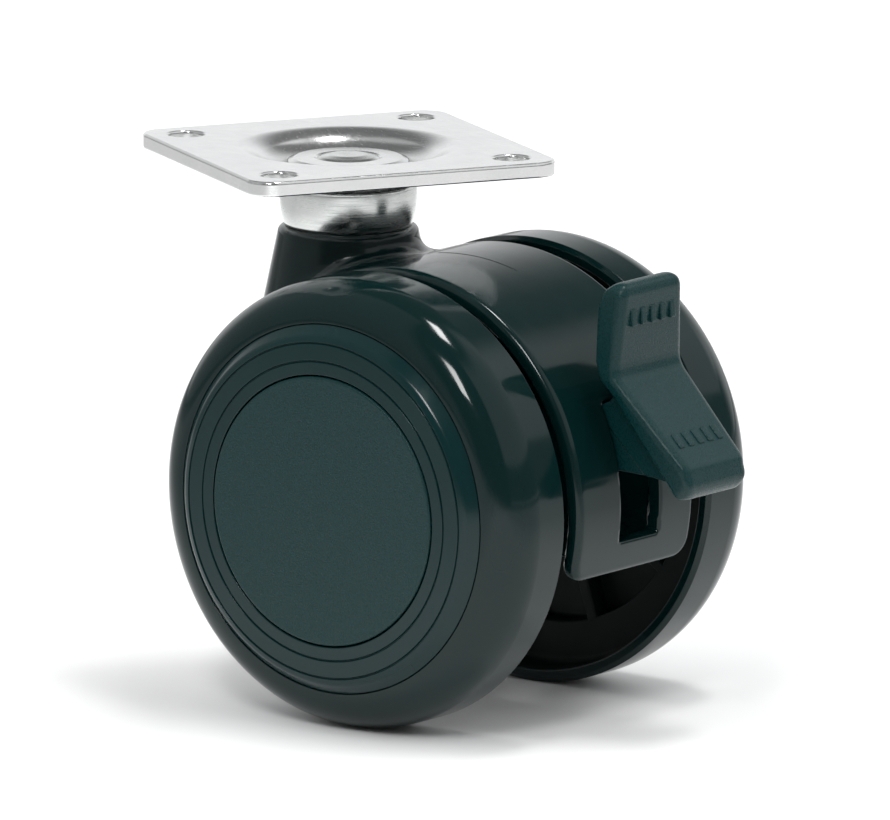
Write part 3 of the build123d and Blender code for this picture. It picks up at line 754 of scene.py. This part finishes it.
def sky():
    """A bright sweep low behind the castor, a dim wall on its left, and on its right a white
    wall with a dark skirting.
    """
    world = bpy.data.worlds.new("studio")
    bpy.context.scene.world = world
    world.use_nodes = True
    tree = world.node_tree

    def node(kind, values, **settings):
        made = tree.nodes.new(kind)
        for key, value in settings.items():
            setattr(made, key, value)
        for index, value in enumerate(values):
            if isinstance(value, bpy.types.NodeSocket):
                tree.links.new(value, made.inputs[index])
            else:
                made.inputs[index].default_value = value
        return made.outputs[0]

    def rise(value, start, end):
        """0 before an angle and 1 after another, both in degrees."""
        return node("ShaderNodeMapRange", (value, math.radians(start), math.radians(end)),
                    interpolation_type="SMOOTHSTEP")

    def maths(what, *values):
        return node("ShaderNodeMath", values, operation=what)

    view = tree.nodes.new("ShaderNodeSeparateXYZ")
    tree.links.new(tree.nodes.new("ShaderNodeTexCoord").outputs["Generated"], view.inputs[0])
    across = maths("ARCTAN2", view.outputs[0], maths("MULTIPLY", view.outputs[1], -1.0))
    height = maths("ARCSINE", view.outputs[2])
    wall = maths("SUBTRACT", rise(across, 60, 66), rise(across, 164, 180))
    wall = maths("MULTIPLY", wall, maths("SUBTRACT", 1.0, rise(height, 56, 70)))
    skirting = maths("SUBTRACT", rise(height, 0, 2), rise(height, 15, 18))
    wall = maths("MULTIPLY", wall, maths("MULTIPLY_ADD", skirting, -0.9, 1.0))
    left = maths("SUBTRACT", rise(across, -108, -92), rise(across, -16, 0))
    behind = maths("ADD", maths("SUBTRACT", 1.0, rise(across, -112, -92)), rise(across, 150, 178))
    behind = maths("MULTIPLY", behind, maths("SUBTRACT", 1.0, rise(height, 14, 40)))
    level = maths("MULTIPLY_ADD", wall, 0.60, 0.15)
    level = maths("MULTIPLY_ADD", left, 0.27, level)
    level = maths("MULTIPLY_ADD", behind, 0.80, level)
    back = tree.nodes["Background"]
    back.inputs["Color"].default_value = (0.98, 0.99, 1.0, 1)
    tree.links.new(level, back.inputs["Strength"])


def floor():
    """A white floor with painted shade: it is painted grey well away from the castor and outside the
    camera's view, which darkens what the glossy parts reflect.
    """
    half = 8.0
    z = FLOOR_Z * MM
    mesh = bpy.data.meshes.new("floor")
    mesh.from_pydata([(-half, -half, z), (half, -half, z), (half, half, z), (-half, half, z)], [],
                     [(0, 1, 2, 3)])
    finish = Finish("floor_white", Roughness=0.7)
    # Painted pool of light: white round this point, fading to grey further out.
    light_pool_centre = Vector(AXLE * MM) + towards(150, 0) * 0.25
    away = finish.vector_maths("DISTANCE", finish.place, (light_pool_centre.x, light_pool_centre.y, z), "Value")
    fade = finish.ramp(away, 0.62, 0.9)
    across = towards(CAMERA_SIDE + 90, 0)
    aside = finish.vector_maths("DOT_PRODUCT", finish.place, across, "Value")
    centre = Vector(AXLE * MM).dot(across)
    # Painted shade on both sides of the camera's view, deeper on its left.
    for start, end, grey in ((-0.08, -0.20, 0.6), (0.07, 0.20, 0.45)):
        side = finish.ramp(aside, centre + start, centre + end, 0.0, grey)
        fade = finish.maths("MAXIMUM", fade, side)
    shade = finish.maths("MULTIPLY_ADD", finish.noise(300, 2), 0.01, fade)
    finish.put("Base Color", finish.colour(shade, (0.92, 0.92, 0.92), (0.2, 0.2, 0.2)))
    mesh.materials.append(finish.material)
    ob = bpy.data.objects.new("floor", mesh)
    bpy.context.scene.collection.objects.link(ob)


def studio():
    """Two softboxes that show as highlights, and two wide fills that don't."""
    bpy.context.scene.view_settings.view_transform = "Standard"
    sky()
    floor()
    softbox("key", 24, 43, 2.4, (0.34, 0.76), 17)
    softbox("overhead", 130, 80, 2.4, (0.66, 0.28), 16)
    for name, azimuth in (("fill_right", 127), ("fill_left", 307)):
        softbox(name, azimuth, 55, 2.4, (3.0, 3.0), 34).visible_glossy = False


# ---- Build ------------------------------------------------------------------------------------
camera()
studio()
materials = make_materials()
slot_of = {part["node"]: part["material_slot"] for part in frame["record"]["subparts"]}
for node, ob in frame["nodes"].items():
    ob.data.materials.clear()
    ob.data.materials.append(materials[slot_of[node]])
top_plate(materials["zinc_plated_steel"])
kingpin_parts(materials["zinc_plated_steel"], materials["bright_steel"])
race_cup(materials["bright_steel"])
housing(materials["housing_gloss_black"])
parting_line(materials["housing_gloss_black"])
pedal(materials["pedal_matte_black"])
grip_ribs(materials["pedal_matte_black"])
wheels(materials)
